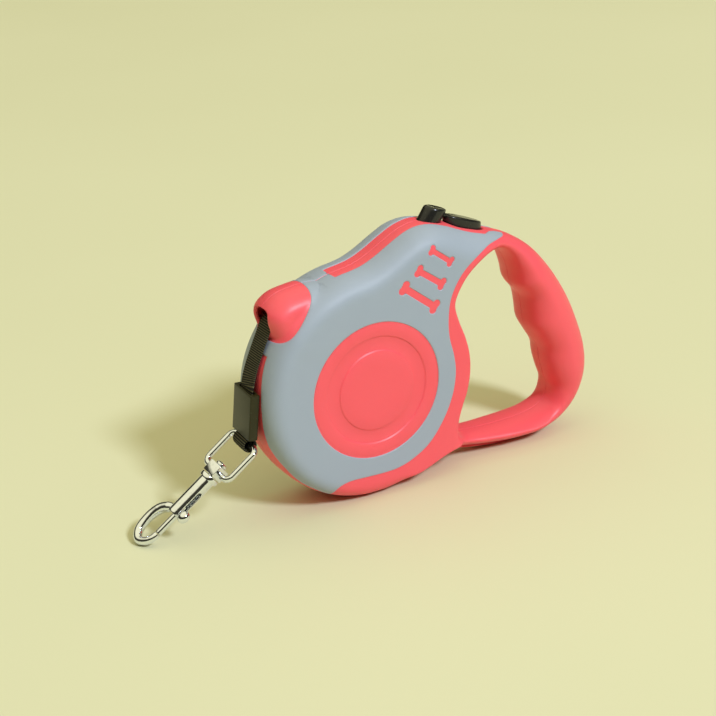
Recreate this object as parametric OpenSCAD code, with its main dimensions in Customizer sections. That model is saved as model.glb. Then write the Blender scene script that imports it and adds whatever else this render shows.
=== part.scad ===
// Retractable tape leash for a small dog: a ring-handled casing in two halves with a
// sprung spool inside, a thumb brake and lock on top, and a swivelling bolt snap on the tape.
// +X runs from the tape mouth to the hand grip, +Y to the right-hand casing half, +Z up.
// The leash stands on the rim of its drum and on the heel of its grip; the origin is the
// centre of its footprint.

/* [Casing] */
// Radius of the round drum that holds the spool
drum_r = 48.9; // [48.5:0.1:49.5]
// Thickness of the closed casing at the drum
casing_w = 32; // [31.5:0.5:34]
// Wall of the casing halves
wall = 2.2; // [1.8:0.1:2.4]
// Thickness of the soft grey overmould
skin_t = 0.9; // [0.6:0.1:1.2]
// How far the overmould stands above the casing
skin_proud = 0.3; // [0.1:0.05:0.4]
// Radius of the round window in the overmould
disc_r = 29; // [26:0.5:31]

/* [Tape and spool] */
// Width of the woven tape
tape_w = 10; // [9:0.5:10]
// Thickness of the tape
tape_t = 0.8; // [0.6:0.1:1]
// Length of tape wound on the spool, in millimetres
tape_wound = 4900; // [3000:100:5000]
// Radius of the spool's core
core_r = 12.5; // [11:0.5:14]
// Number of brake teeth on the spool
brake_teeth = 24; // [18:1:30]

/* [Snap hook] */
// Thickness of the ring's wire
ring_wire = 2.6; // [2.2:0.1:2.8]
// Width of the ring between wire centres
ring_w = 18; // [17:0.5:19]
// Height of the ring between wire centres
ring_h = 16.8; // [16:0.2:17.4]
// Radius of the snap's barrel
barrel_r = 3.2; // [2.9:0.1:3.2]

/* [Hidden] */
// The grip's outline reaches this far behind the spool's axle.
grip_reach = 111.4;
overall_l = drum_r + grip_reach;
axle_x = drum_r - overall_l / 2;
// Half angle of the flat that the drum stands on.
foot_angle = 4;
axle_z = drum_r * cos(foot_angle);
slack = 0.1;
half_w = casing_w / 2;
rim_r = 11;
hole_rim_r = 8;
RIM = [0, 30, 60, 90];

// Outline of the casing's rear part from under the drum round the grip to the top,
// as [x, z] from the axle.
GRIP = [[20, -46.2], [31, -43.6], [42, -43.6], [56, -46.2], [68, -48], [77, -48.67], [84, -48.6],
        [91, -47], [98, -43], [105, -36], [109.6, -27.5], [111.4, -18.5], [110.4, -8.5], [107.2, 2],
        [103, 12.5], [97.6, 22.5], [91, 32], [83.8, 40], [75.5, 46], [67, 50], [58, 53], [49, 56],
        [40, 59.4], [31, 61.2], [23, 60], [15.5, 56.6], [8, 52.6]];
// Outline of the hand hole, up the finger grooves from its lower rear corner, over its
// top corner and down its front side.
HOLE = [[92.6, -34], [94.4, -28], [92.4, -21.5], [90.6, -15], [89.6, -8.5], [86.2, -2.5], [82.6, 4],
        [81.6, 11], [80.2, 18], [76, 24], [74.6, 30.5], [71.5, 38.5], [66, 43], [58, 41.5],
        [50.5, 37], [45.4, 31.6], [43, 26], [45, 19], [47.9, 12], [49.5, 4], [49.6, -5],
        [48.5, -12], [46.6, -19], [44.6, -26], [45.2, -33], [49.5, -37], [58, -38.3], [68, -38.8],
        [78, -38.6], [87, -37.3]];
// Edge of the overmould over the grip's root, from the bottom of the drum up to its point
// behind the buttons and forward along the top.
SKIN = [[-14, -54], [-12, -40], [-3, -38.4], [6, -38.6], [16, -35], [25, -29], [31.5, -20.5],
        [35.5, -11], [37.4, -1], [37, 8], [35.4, 16], [35.2, 25], [38, 33], [44, 41.5], [51, 46.3],
        [58, 48.4], [65, 49.4], [69.5, 48]];
// Bone-shaped windows in the overmould: the two knuckle centres, then the shank's radius.
BONES = [[[28.2, 53.4], [36.6, 46.8], 1.2], [[21.6, 46.2], [32.2, 38.3], 1.45], [[14.6, 40.6], [28.4, 29.4], 1.7]];

// Screws that hold the halves together.
SCREWS = [[20, 51.4], [41, -36.6], [80, 37.5], [102.4, -8], [88, -42.6]];
screw_r = 1.3;
screw_l = 16;
screw_seat = 7.5;
head_r = 2.5;
head_t = 1.8;
boss_r = 3.7;

// Layers across the casing, from the left wall to the right one.
axle_r = 3;
bore_r = axle_r + 0.06;
hub_r = 6;
thrust_t = 0.6;
cheek_y = -11;
cheek_t = 1.5;
tape_y = -9.3;
flange_y = 0.9;
flange_t = 1.4;
drum_l = 7.5;
cover_y = flange_y + flange_t + drum_l;
cover_t = 1.2;
cheek_r = 42;
brake_r = 43.4;
brake_w = 4;
spring_drum_r = 31;
arbor_r = 5;
wound_r = sqrt(core_r * core_r + tape_wound * tape_t * 1.04 / PI);
winding_w = tape_w + 0.2;

// Hood over the tape's mouth, the passage inside it and the pin that the tape runs over.
HOOD = [[-12, 44], [-22, 47.2], [-29, 46.6], [-35, 45.8], [-39.5, 44], [-42.8, 41], [-44, 38],
        [-43.4, 34.2], [-41, 27.6], [-36, 20], [-22, 18], [-9, 30]];
hood_half = 10.5;
hood_rim = 5;
PASSAGE = [[-16, 44.6], [-30, 43.8], [-36, 42.8], [-40, 40.4], [-41.9, 37.6], [-41.6, 34], [-46, 26],
           [-39.2, 26], [-38, 32.4], [-36.9, 34.6], [-33, 34.4], [-16, 32]];
FUNNEL = [[-16, 44.6], [-32, 43.6], [-33.5, 34.4], [-16, 32]];
mouth_half = 6.3;
funnel_half = 8.8;
GUIDE = [-36.9, 33.2];
guide_r = 1.4;
guide_l = 16;
// Route of the tape from the spool over the pin and down the front of the casing into the
// ferrule, as [x, y, z] from the axle.
ROUTE = [[-10.5, -4.2, 38], [-16, -4.2, 37.7], [-22.5, -4.15, 37.3], [-27, -2.9, 36.9], [-31.5, -1.1, 36.5],
         [-35.3, -0.1, 35.9], [-38, 0, 34.9], [-39.9, 0, 32.6], [-41.4, 0, 29.4], [-43.1, 0, 26],
         [-45, 0, 22], [-46.8, 0, 18], [-48.5, -0.4, 14.2], [-49.8, -1.1, 11.2], [-50.6, -1.5, 9],
         [-51.22, -1.19, 3]];

// Brake lever: pivot, thumb pad, and the arm that ends in the pawl.
PIVOT = [58, 47.2];
PAD = [[62, 53.8], [58, 55], [52, 57], [47.5, 59.4], [44.6, 61.8], [43.6, 61], [43.4, 56], [46, 53],
       [57, 50.6], [61, 51.6]];
ARM = [[56, 52], [46, 54], [43.5, 47.5], [36, 45.6], [28, 45.2], [23, 42.8], [22.6, 38.4],
       [25.6, 37.8], [30, 41], [40, 41.8], [48, 42.6], [54, 44.6], [58, 47.2]];
lever_pin_r = 1.2;
lever_pin_l = 15;
eye_r = 2.7;
pad_w = 9;
arm_w = 7;
pad_gap = 0.4;
// Coil under the lever's arm.
BRAKE_SEAT = [43, 35.5];
brake_coil_l = 6.2;
// Lock button: where it crosses the casing's top, and how it leans back.
LOCK = [36, 59];
lock_lean = 36;
lock_r = 4.2;
lock_out = 6;
lock_in = 3;
stem_r = 1.5;
stem_l = 11.2;
ledge_s = 7.7;
ledge_t = 1.8;

// Ferrule at the end of the tape: thickness, width and length, top centre, and how it hangs.
FERRULE = [4, 15.2, 19.4];
FERRULE_TOP = [-50.6, -1.5, 9];
FERRULE_TURN = [3, 6, 0];
bar_drop = 3.3;
bar_gap = 1.1;
bend = 3;
// Snap: its ring bar hangs in the tape's loop and it leans forward, tip on the ground.
BAR = [-52.6, -0.3, -13.4];
snap_pitch = 53.9;
snap_yaw = -3.1;
snap_roll = 11;
hook_roll = -1;
block_l = 5.2;
block_s = ring_h - block_l / 2;
rivet_r = 1.5;
collar_s = block_s + block_l + 0.3;
barrel_s = collar_s + 1.8;
barrel_l = 19;
barrel_end = barrel_s + barrel_l;
// Centre line of the hook from the barrel's side round to its nose, as [across, down].
HOOK = [[2, 38.6], [4.8, 39.8], [7.8, 42.4], [9.4, 46.4], [9.6, 51], [8.5, 55], [5, 57.6],
        [1.5, 56.2], [-0.5, 53.4], [-0.9, 50.6]];
hook_r = 1.75;
bolt_u = -0.9;
bolt_r = 1.35;
bolt_end = 50.3;
bolt_l = 15;
knob_s = 38.6;
knob_u = -5.8;
knob_r = 2.2;
slot_w = 2.4;
slot_l = 12;

// ---- shape functions ----
function arc(r, a0, a1, n) =
    [for (i = [0 : n]) let (a = a0 + (a1 - a0) * i / n) r * [cos(a), sin(a)]];
function blend(p, q, r, s, t) = 0.5 * (2 * q + (r - p) * t + (2 * p - 5 * q + 4 * r - s) * t * t
    + (3 * q - p - 3 * r + s) * t * t * t);
// Smooth run through the points, closed or open, with k steps from each to the next.
function smooth(pts, k, closed) = let (n = len(pts)) [
    for (i = [0 : closed ? n - 1 : n - 2]) for (j = [0 : k - 1])
        let (before = closed ? pts[(i + n - 1) % n] : pts[max(i - 1, 0)],
             after = closed ? pts[(i + 2) % n] : pts[min(i + 2, n - 1)])
        blend(before, pts[i], pts[(i + 1) % n], after, j / k)];
function unit(v) = v / norm(v);
function normal_at(o, i) =
    let (n = len(o), t = unit(o[(i + 1) % n] - o[(i + n - 1) % n])) [t[1], -t[0]];
// A counter-clockwise outline moved in by d.
function inset(o, d) = [for (i = [0 : len(o) - 1]) o[i] - d * normal_at(o, i)];

CASING = concat(arc(drum_r, 98, 282, 23), smooth(GRIP, 2, false), [GRIP[len(GRIP) - 1], [2, 50]]);
HAND = smooth(HOLE, 2, true);

// Closed surface over rings of points: every ring has the same count, and the first and
// last are flat.
module skinned(rings) {
    n = len(rings[0]);
    m = len(rings);
    polyhedron([for (ring = rings) for (p = ring) p], concat(
        [[for (i = [0 : n - 1]) i]],
        [for (k = [0 : m - 2]) for (i = [0 : n - 1]) let (j = (i + 1) % n)
            [k * n + j, k * n + i, (k + 1) * n + i, (k + 1) * n + j]],
        [[for (i = [n - 1 : -1 : 0]) (m - 1) * n + i]]), convexity = 10);
}
// Round-rimmed slab about the plane y = 0, with its whole surface moved in by g.
module slab(outline, half, rim, g) {
    r = rim - g;
    skinned([for (side = [1, -1]) for (k = [0 : len(RIM) - 1])
        let (a = side > 0 ? RIM[len(RIM) - 1 - k] : RIM[k])
        [for (p = inset(outline, g + r * (1 - cos(a))))
            [p[0], side * (half - rim + r * sin(a)), p[1]]]]);
}
module drum_slab(g) { slab(CASING, half_w, rim_r, g); }
// Plug of the hand hole: it flares towards both sides, with its surface moved out by g.
module hand_plug(g) {
    r = hole_rim_r - g;
    RISE = concat(RIM, [91]);
    skinned([for (side = [1, -1]) for (k = [0 : len(RISE) - 1])
        let (a = side > 0 ? RISE[len(RISE) - 1 - k] : RISE[k])
        [for (p = inset(HAND, -g - r * (1 - cos(min(a, 90)))))
            [p[0], side * (half_w - hole_rim_r + r * sin(min(a, 90)) + (a > 90 ? 4 : 0)), p[1]]]]);
}

module at_axle() { translate([axle_x, 0, axle_z]) children(); }
// Stands a flat [x, z] shape up as a plate t thick, from y0 on.
module plate(y0, t) { translate([0, y0 + t, 0]) rotate([90, 0, 0]) linear_extrude(t) children(); }
module rod(p, r, y0, l) { translate([p[0], y0 + l, p[1]]) rotate([90, 0, 0]) cylinder(r = r, h = l, $fn = 48); }
module tube(p, r, hole, y0, l) {
    difference() {
        rod(p, r, y0, l);
        rod(p, hole, y0 - 1, l + 2);
    }
}
// Coil spring standing on z = 0.
module coil(r, wire, h, turns) {
    steps = 10 * turns;
    skinned([for (i = [0 : steps])
        let (a = 360 * turns * i / steps, z = wire + (h - 2 * wire) * i / steps)
        [for (b = [0 : 45 : 315]) let (q = r + wire * cos(b)) [q * cos(a), q * sin(a), z - wire * sin(b)]]]);
}

// ---- casing ----
// Half space on one side of the seam: side is -1 for the left half, 1 for the right.
module half_space(side, from) {
    translate([0, side > 0 ? 50 + from : -50 - from, 0]) cube([300, 100, 300], center = true);
}
module at_lock() { translate([LOCK[0], 0, LOCK[1]]) rotate([0, lock_lean, 0]) children(); }
// Flat area that the overmould covers, with its round window.
module skin_area() {
    difference() {
        polygon(concat(smooth(SKIN, 2, false), [[69.5, 48], [69, 52], [62, 70], [-60, 70], [-60, -54]]));
        circle(r = disc_r, $fn = 96);
        polygon([[-22, 52], [-20.4, 43], [-22.6, 36.5], [-27, 31], [-33, 27], [-38.6, 25.4], [-60, 25.4], [-60, 52]]);
    }
}
module bone_shape(bone) {
    along = unit(bone[1] - bone[0]);
    across = [-along[1], along[0]] * bone[2];
    polygon([bone[0] + across, bone[1] + across, bone[1] - across, bone[0] - across]);
    for (end = [0, 1]) for (side = [-1, 1])
        translate(bone[end] + side * 1.15 * across) circle(r = bone[2] * 1.15, $fn = 12);
}
// Everything the overmould fills, between two depths under the casing's surface.
module skin_layer(side, top, bottom) {
    intersection() {
        difference() {
            drum_slab(top);
            drum_slab(bottom);
        }
        translate([0, side * (rim_r - 6 + 10), 0]) translate([0, -10, 0]) plate(0, 20) skin_area();
    }
}
module boss(p, r) { rod(p, r, -half_w, casing_w); }
module casing_half(side) {
    difference() {
        intersection() {
            difference() {
                union() {
                    drum_slab(0);
                    slab(HOOD, hood_half, hood_rim, 0);
                }
                hand_plug(0);
                difference() {
                    drum_slab(wall);
                    hand_plug(wall);
                    for (p = SCREWS) boss(p, boss_r);
                    rod([0, 0], hub_r, side > 0 ? cover_y + cover_t + thrust_t + 0.2 : -half_w, half_w + cheek_y - thrust_t - 0.2);
                    rod(PIVOT, eye_r, side > 0 ? arm_w / 2 + 0.4 : -half_w, half_w - arm_w / 2 - 0.4);
                    translate([BRAKE_SEAT[0] - 3, -half_w, BRAKE_SEAT[1] - 6]) cube([6, casing_w, 6]);
                    at_lock() translate([-4.5, -half_w, -ledge_s - ledge_t]) cube([9, casing_w, ledge_t]);
                }
                plate(-mouth_half, 2 * mouth_half) polygon(PASSAGE);
                plate(-funnel_half, 2 * funnel_half) polygon(FUNNEL);
            }
            half_space(side, 0);
        }
        skin_layer(side, -1, skin_t - skin_proud);
        rod([0, 0], axle_r + 0.02, -half_w + 1.4, casing_w - 2.8);
        rod(GUIDE, guide_r + 0.02, -guide_l / 2, guide_l);
        rod(PIVOT, lever_pin_r + 0.02, -lever_pin_l / 2, lever_pin_l);
        at_lock() translate([0, 0, -lock_in - 2]) cylinder(r = lock_r + 0.3, h = lock_in + 12, $fn = 48);
        at_lock() translate([0, 0, -ledge_s - ledge_t - 1]) cylinder(r = stem_r + 0.2, h = ledge_t + 2, $fn = 48);
        translate([41.8, -pad_w / 2 - pad_gap, 50]) cube([21.4, pad_w + 2 * pad_gap, 20]);
        for (p = SCREWS) {
            rod(p, screw_r + 0.04, screw_seat - screw_l, screw_l);
            rod(p, head_r + 0.2, screw_seat, half_w);
        }
    }
}
module left_shell() { color("#f55d5d") at_axle() casing_half(-1); }
module right_shell() { color("#f55d5d") at_axle() casing_half(1); }
module left_skin() {
    color("#9da9b1") at_axle() difference() {
        skin_layer(-1, -skin_proud, skin_t - skin_proud);
        plate(-half_w - 1, half_w) for (bone = BONES) bone_shape(bone);
    }
}
module right_skin() { mirror([0, 1, 0]) left_skin(); }
module shell_screws() {
    color("silver") at_axle() for (p = SCREWS) difference() {
        union() {
            rod(p, screw_r, screw_seat - screw_l + 0.3, screw_l);
            rod(p, head_r, screw_seat, head_t);
        }
        translate([p[0], screw_seat + head_t, p[1]]) cube([3.4, 2, 0.7], center = true);
        translate([p[0], screw_seat + head_t, p[1]]) cube([0.7, 2, 3.4], center = true);
    }
}

// ---- spool and spring ----
module axle() { color("silver") at_axle() rod([0, 0], axle_r, -half_w + 1.5, casing_w - 3); }
module spring_arbor() {
    color("dimgray") at_axle() tube([0, 0], arbor_r, axle_r, flange_y + flange_t + 0.2, drum_l - 0.4);
}
module thrust_washers() {
    color("white") at_axle() {
        tube([0, 0], hub_r, bore_r, cheek_y - slack - thrust_t, thrust_t);
        tube([0, 0], hub_r, bore_r, cover_y + cover_t + slack, thrust_t);
    }
}
// Ring of square brake teeth; a gap stands under the pawl at rest.
module brake_ring() {
    step = 360 / brake_teeth;
    gap_at = 54.6;
    difference() {
        rod([0, 0], brake_r, flange_y, brake_w);
        rod([0, 0], brake_r - 4.4, flange_y + flange_t, brake_w);
        for (i = [0 : brake_teeth - 1]) rotate([0, -gap_at - i * step, 0])
            translate([brake_r - 3, flange_y - 1, -2.7]) cube([4, brake_w + 2, 5.4]);
    }
}
module spool() {
    color("white") at_axle() difference() {
        union() {
            rod([0, 0], core_r, cheek_y + cheek_t, flange_y - cheek_y - cheek_t + 0.5);
            brake_ring();
            tube([0, 0], spring_drum_r + 1.6, spring_drum_r, flange_y + flange_t - 0.2, drum_l + 0.2);
        }
        rod([0, 0], bore_r, -half_w, casing_w);
    }
}
module spool_cheek() { color("white") at_axle() tube([0, 0], cheek_r, bore_r, cheek_y, cheek_t); }
module tape_winding() {
    color("#2b291d") at_axle() tube([0, 0], wound_r, core_r, tape_y, winding_w);
}
// Spiral of spring steel from the arbor out to the drum.
module power_spring() {
    turns = 7;
    steps = 20 * turns;
    reach = spring_drum_r - arbor_r - 0.9;
    points = [for (i = [0 : steps]) let (a = 360 * turns * i / steps, r = arbor_r + 0.1 + reach * i / steps)
        r * [cos(a), sin(a)]];
    rim = [for (i = [0 : steps]) points[i] + 0.5 * unit(points[i])];
    color("slategray") at_axle() plate(flange_y + flange_t + 0.4, drum_l - 0.8)
        polygon(concat(points, [for (i = [steps : -1 : 0]) rim[i]]));
}
module spring_cover() {
    color("white") at_axle() tube([0, 0], spring_drum_r + 1.6, bore_r, cover_y, cover_t);
}

// ---- brake and lock ----
module guide_pin() { color("silver") at_axle() rod(GUIDE, guide_r, -guide_l / 2 + 0.1, guide_l - 0.2); }
module brake_lever() {
    color("#222222") at_axle() difference() {
        union() {
            plate(-pad_w / 2, pad_w) polygon(PAD);
            plate(-arm_w / 2, arm_w) polygon(ARM);
            rod(PIVOT, eye_r, -arm_w / 2, arm_w);
        }
        rod(PIVOT, lever_pin_r + 0.06, -half_w, casing_w);
    }
}
module lever_pin() {
    color("silver") at_axle() rod(PIVOT, lever_pin_r, -lever_pin_l / 2 + 0.1, lever_pin_l - 0.2);
}
module brake_spring() {
    color("silver") at_axle() translate([BRAKE_SEAT[0], 0, BRAKE_SEAT[1] + 0.05]) coil(1.9, 0.35, brake_coil_l, 4);
}
module lock_button() {
    color("#222222") at_axle() at_lock() {
        translate([0, 0, -lock_in]) cylinder(r = lock_r, h = lock_in + lock_out, $fn = 48);
        translate([0, 0, -stem_l]) cylinder(r = stem_r, h = stem_l - lock_in + 0.5, $fn = 32);
        translate([0, 0, -stem_l]) cylinder(r = stem_r + 0.8, h = 1.2, $fn = 32);
    }
}
module lock_spring() {
    color("silver") at_axle() at_lock() translate([0, 0, -ledge_s + 0.05])
        coil(2.3, 0.3, ledge_s - lock_in - 0.1, 4);
}

// ---- tape end ----
// Flat strap along the route: its width lies along Y and leans to the ferrule's roll.
module tape() {
    path = smooth(ROUTE, 2, false);
    n = len(path);
    color("#2b291d") at_axle() skinned([for (i = [0 : n - 1])
        let (ahead = unit(path[min(i + 1, n - 1)] - path[max(i - 1, 0)]),
             lean = FERRULE_TURN[0] * min(max((i - n + 9) / 8, 0), 1),
             w = tape_w / 2 * unit(cross(cross(ahead, [0, cos(lean), sin(lean)]), ahead)),
             t = tape_t / 2 * unit(cross(ahead, w)))
        [path[i] + w + t, path[i] - w + t, path[i] - w - t, path[i] + w - t]]);
}
module at_ferrule() { at_axle() translate(FERRULE_TOP) rotate(FERRULE_TURN) children(); }
module ferrule() {
    color("#222222") at_ferrule() difference() {
        translate([-FERRULE[0] / 2, -FERRULE[1] / 2, -FERRULE[2]]) cube(FERRULE);
        translate([-1, -tape_w / 2 - 0.4, -FERRULE[2] - 1]) cube([2, tape_w + 0.8, FERRULE[2] + 2]);
        for (x = [-1, 1]) for (y = [-1, 1]) translate([x * FERRULE[0] / 2, y * FERRULE[1] / 2, -FERRULE[2] / 2])
            rotate([0, 0, 45]) cube([1, 1, FERRULE[2] + 1], center = true);
    }
}
// Doubled tape round the ring's bar, drawn up into the ferrule.
module tape_loop() {
    inner = ring_wire / 2 + bar_gap;
    color("#2b291d") at_ferrule() translate([0, 0, -FERRULE[2] - bar_drop]) difference() {
        union() {
            rod([0, 0], inner + tape_t, -tape_w / 2, tape_w);
            translate([-tape_t, -tape_w / 2, inner]) cube([2 * tape_t, tape_w, bar_drop - inner + 5]);
        }
        rod([0, 0], inner, -tape_w, 2 * tape_w);
    }
}

// ---- snap ----
module at_snap(turn) {
    at_axle() translate(BAR) rotate([0, snap_pitch, snap_yaw]) rotate([0, 0, snap_roll + turn]) children();
}
module bar_y(p, l) { translate(p) rotate([90, 0, 0]) cylinder(r = ring_wire / 2, h = l, center = true, $fn = 32); }
module corner(y, z, a) {
    translate([0, y, z]) rotate([0, 90, 0]) rotate([0, 0, a]) rotate_extrude(angle = 90, $fn = 48)
        translate([bend, 0]) circle(r = ring_wire / 2, $fn = 32);
}
// Square ring with round corners; its lower bar carries the block that the snap turns in.
module bail() {
    straight_w = ring_w - 2 * bend;
    straight_h = ring_h - 2 * bend;
    color("#c8c8c8") at_snap(0) difference() {
        union() {
            bar_y([0, 0, 0], straight_w);
            bar_y([0, 0, -ring_h], straight_w);
            for (side = [-1, 1]) translate([0, side * ring_w / 2, -bend - straight_h])
                cylinder(r = ring_wire / 2, h = straight_h, $fn = 32);
            corner(straight_w / 2, -bend, 90);
            corner(-straight_w / 2, -bend, 180);
            corner(straight_w / 2, bend - ring_h, 0);
            corner(-straight_w / 2, bend - ring_h, 270);
            translate([-3, -3.4, -ring_h - block_l / 2]) cube([6, 6.8, block_l]);
        }
        translate([0, 0, -ring_h - block_l]) cylinder(r = rivet_r + 0.05, h = 2 * block_l, $fn = 32);
    }
}
module swivel_rivet() {
    color("#c8c8c8") at_snap(hook_roll) {
        translate([0, 0, -collar_s - 1]) cylinder(r = rivet_r, h = block_l + 1.6, $fn = 32);
        translate([0, 0, -block_s + 0.2]) cylinder(r = rivet_r + 1, h = 1.3, $fn = 32);
    }
}
// Round bar swept along the hook's centre line, in the plane across the barrel.
module hook_sweep() {
    path = [for (p = smooth(HOOK, 2, false)) [0, p[0], -p[1]]];
    n = len(path);
    skinned([for (i = [0 : n - 1]) let (ahead = unit(path[min(i + 1, n - 1)] - path[max(i - 1, 0)]))
        [for (b = [0 : 30 : 330]) path[i] + hook_r * (cos(b) * [1, 0, 0] + sin(b) * cross(ahead, [1, 0, 0]))]]);
}
module snap_body() {
    color("#c8c8c8") at_snap(hook_roll) difference() {
        union() {
            translate([0, 0, -barrel_s]) cylinder(r = barrel_r + 0.9, h = barrel_s - collar_s, $fn = 48);
            translate([0, 0, -barrel_end]) cylinder(r = barrel_r, h = barrel_l + 0.5, $fn = 48);
            hook_sweep();
        }
        translate([0, 0, -collar_s - 1]) cylinder(r = rivet_r + 0.02, h = 3, $fn = 32);
        translate([0, bolt_u, -barrel_end - 1]) cylinder(r = bolt_r + 0.08, h = barrel_l, $fn = 32);
        translate([-slot_w / 2, -barrel_r - 1, -barrel_end + 0.6]) cube([slot_w, barrel_r + 1, slot_l]);
    }
}
module snap_bolt() {
    color("#c8c8c8") at_snap(hook_roll) {
        translate([0, bolt_u, -bolt_end]) cylinder(r = bolt_r, h = bolt_l, $fn = 32);
        translate([0, knob_u, -knob_s]) rotate([-90, 0, 0]) cylinder(r = 0.9, h = bolt_u - knob_u, $fn = 32);
        translate([0, knob_u, -knob_s]) sphere(r = knob_r, $fn = 32);
    }
}
module snap_spring() {
    color("silver") at_snap(hook_roll) translate([0, bolt_u, -bolt_end + bolt_l + 0.05])
        coil(0.95, 0.32, barrel_l - 1.2 - (bolt_l - bolt_end + barrel_end), 5);
}

left_shell();
right_shell();
left_skin();
right_skin();
shell_screws();
axle();
spring_arbor();
thrust_washers();
spool();
spool_cheek();
tape_winding();
power_spring();
spring_cover();
guide_pin();
brake_lever();
lever_pin();
brake_spring();
lock_button();
lock_spring();
tape();
tape_loop();
ferrule();
bail();
snap_body();
swivel_rivet();
snap_bolt();
snap_spring();
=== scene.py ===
# Retractable tape leash for a small dog, standing on the rim of its drum and the heel of its grip.
# Lengths in the sections below are in millimetres from the spool's axle, unless they say otherwise.
import math

import bmesh
import bpy
import numpy as np
from mathutils import Matrix


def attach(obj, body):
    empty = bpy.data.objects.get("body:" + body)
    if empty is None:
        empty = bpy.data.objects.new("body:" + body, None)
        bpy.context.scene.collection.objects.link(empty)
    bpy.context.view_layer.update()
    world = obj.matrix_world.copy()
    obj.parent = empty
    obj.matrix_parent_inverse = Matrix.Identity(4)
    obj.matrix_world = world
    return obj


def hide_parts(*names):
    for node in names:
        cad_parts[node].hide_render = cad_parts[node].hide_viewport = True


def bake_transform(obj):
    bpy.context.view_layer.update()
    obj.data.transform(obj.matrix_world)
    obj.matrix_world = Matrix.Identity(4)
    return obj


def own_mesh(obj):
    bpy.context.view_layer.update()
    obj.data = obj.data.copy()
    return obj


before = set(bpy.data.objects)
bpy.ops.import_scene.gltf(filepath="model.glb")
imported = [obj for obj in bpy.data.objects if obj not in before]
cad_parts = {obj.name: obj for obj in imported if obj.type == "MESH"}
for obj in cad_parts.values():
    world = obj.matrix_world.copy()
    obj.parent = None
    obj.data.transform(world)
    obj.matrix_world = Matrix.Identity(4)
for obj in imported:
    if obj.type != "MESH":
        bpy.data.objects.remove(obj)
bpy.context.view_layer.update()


# ---- Camera ----
# A long lens on a stand, in front of the leash's left side and a little above it.
eye = np.array([-0.33675, -0.5578, 0.33098])
back = np.array([-0.442, -0.805, 0.395])
back /= np.linalg.norm(back)
right = np.array([0.865, -0.500, -0.050])
right -= (right @ back) * back
right /= np.linalg.norm(right)
stand = np.eye(4)
stand[:3, 0], stand[:3, 1], stand[:3, 2], stand[:3, 3] = right, np.cross(back, right), back, eye
lens = bpy.data.cameras.new("camera")
lens.lens, lens.sensor_width = 85.47, 36.0
camera = bpy.data.objects.new("camera", lens)
camera.matrix_world = Matrix(stand.tolist())
bpy.context.scene.collection.objects.link(camera)
bpy.context.scene.camera = camera


# ---- Tape and its loop ----
# A woven nylon tape 10 mm wide, with a rib for every weft. It leaves the mouth over a pin, hangs down
# the front and is doubled round the ring's bar inside a black ferrule.
AXLE = np.array([-31.25, 0.0, 48.78])


def placed(points):
    """Millimetres from the axle as metres in the frame."""
    return (np.asarray(points, float) + AXLE) / 1000


def through(points, steps, closed=False):
    """Catmull-Rom curve through points: each piece is the cubic that leaves a point along the line between
    its neighbours and comes to the next point in the same way."""
    p = np.asarray(points, float)
    n = len(p)
    i = np.arange(n if closed else n - 1)
    a, b, c, d = (p[(i + k) % n if closed else np.clip(i + k, 0, n - 1)][:, None] for k in (-1, 0, 1, 2))
    t = (np.arange(steps) / steps)[None, :, None]
    curve = 0.5 * (2 * b + (c - a) * t + (2 * a - 5 * b + 4 * c - d) * t**2 + (3 * b - a - 3 * c + d) * t**3)
    curve = curve.reshape(-1, p.shape[1])
    return curve if closed else np.vstack([curve, p[-1:]])


def evenly(path, step):
    """The same path with its points about step apart, by its running length."""
    run = np.r_[0, np.cumsum(np.linalg.norm(np.diff(path, axis=0), axis=1))]
    at = np.linspace(0, run[-1], max(2, int(round(run[-1] / step)) + 1))
    return np.column_stack([np.interp(at, run, path[:, k]) for k in range(path.shape[1])]), at


def unit(v):
    """Each vector divided by its length."""
    return v / np.linalg.norm(v, axis=-1, keepdims=True)


def loft(rings, around=False, caps=True):
    """Quads between each ring of points and the next. Rings are closed, around joins the last ring to the
    first, and otherwise both ends get a flat face."""
    m, n = rings.shape[:2]
    i, j = np.meshgrid(np.arange(m if around else m - 1), np.arange(n), indexing="ij")
    k = (i + 1) % m
    faces = np.stack([i * n + j, i * n + (j + 1) % n, k * n + (j + 1) % n, k * n + j], -1).reshape(-1, 4).tolist()
    if caps and not around:
        faces += [list(range(n)), list(range((m - 1) * n, m * n))]
    return rings.reshape(-1, 3), faces


def joined(*parts):
    """Several (points, faces) pairs as one."""
    points, faces, first = [], [], 0
    for p, f in parts:
        points.append(np.asarray(p, float))
        faces += [[v + first for v in face] for face in f]
        first += len(p)
    return np.vstack(points), faces


def moulded(name, shape, finish, body=None, stands_for=(), crease=38, outwards=True):
    """Makes a piece from metres and faces, smooth but for edges sharper than crease degrees."""
    mesh = bpy.data.meshes.new(name)
    mesh.from_pydata(np.asarray(shape[0]).tolist(), [], shape[1])
    if outwards:
        loose = bmesh.new()
        loose.from_mesh(mesh)
        bmesh.ops.recalc_face_normals(loose, faces=loose.faces)
        loose.to_mesh(mesh)
        loose.free()
    mesh.shade_smooth()
    mesh.set_sharp_from_angle(angle=math.radians(crease))
    mesh.materials.append(finish.material)
    piece = bpy.data.objects.new(name, mesh)
    bpy.context.scene.collection.objects.link(piece)
    if body:
        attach(piece, body)
    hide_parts(*stands_for)
    return piece


def paint(red, green, blue):
    """A colour as it shows on a screen, 0 to 255, as the linear light that a shader takes."""
    c = np.array([red, green, blue]) / 255
    return (*np.where(c < 0.04045, c / 12.92, ((c + 0.055) / 1.055) ** 2.4).tolist(), 1.0)


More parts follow.
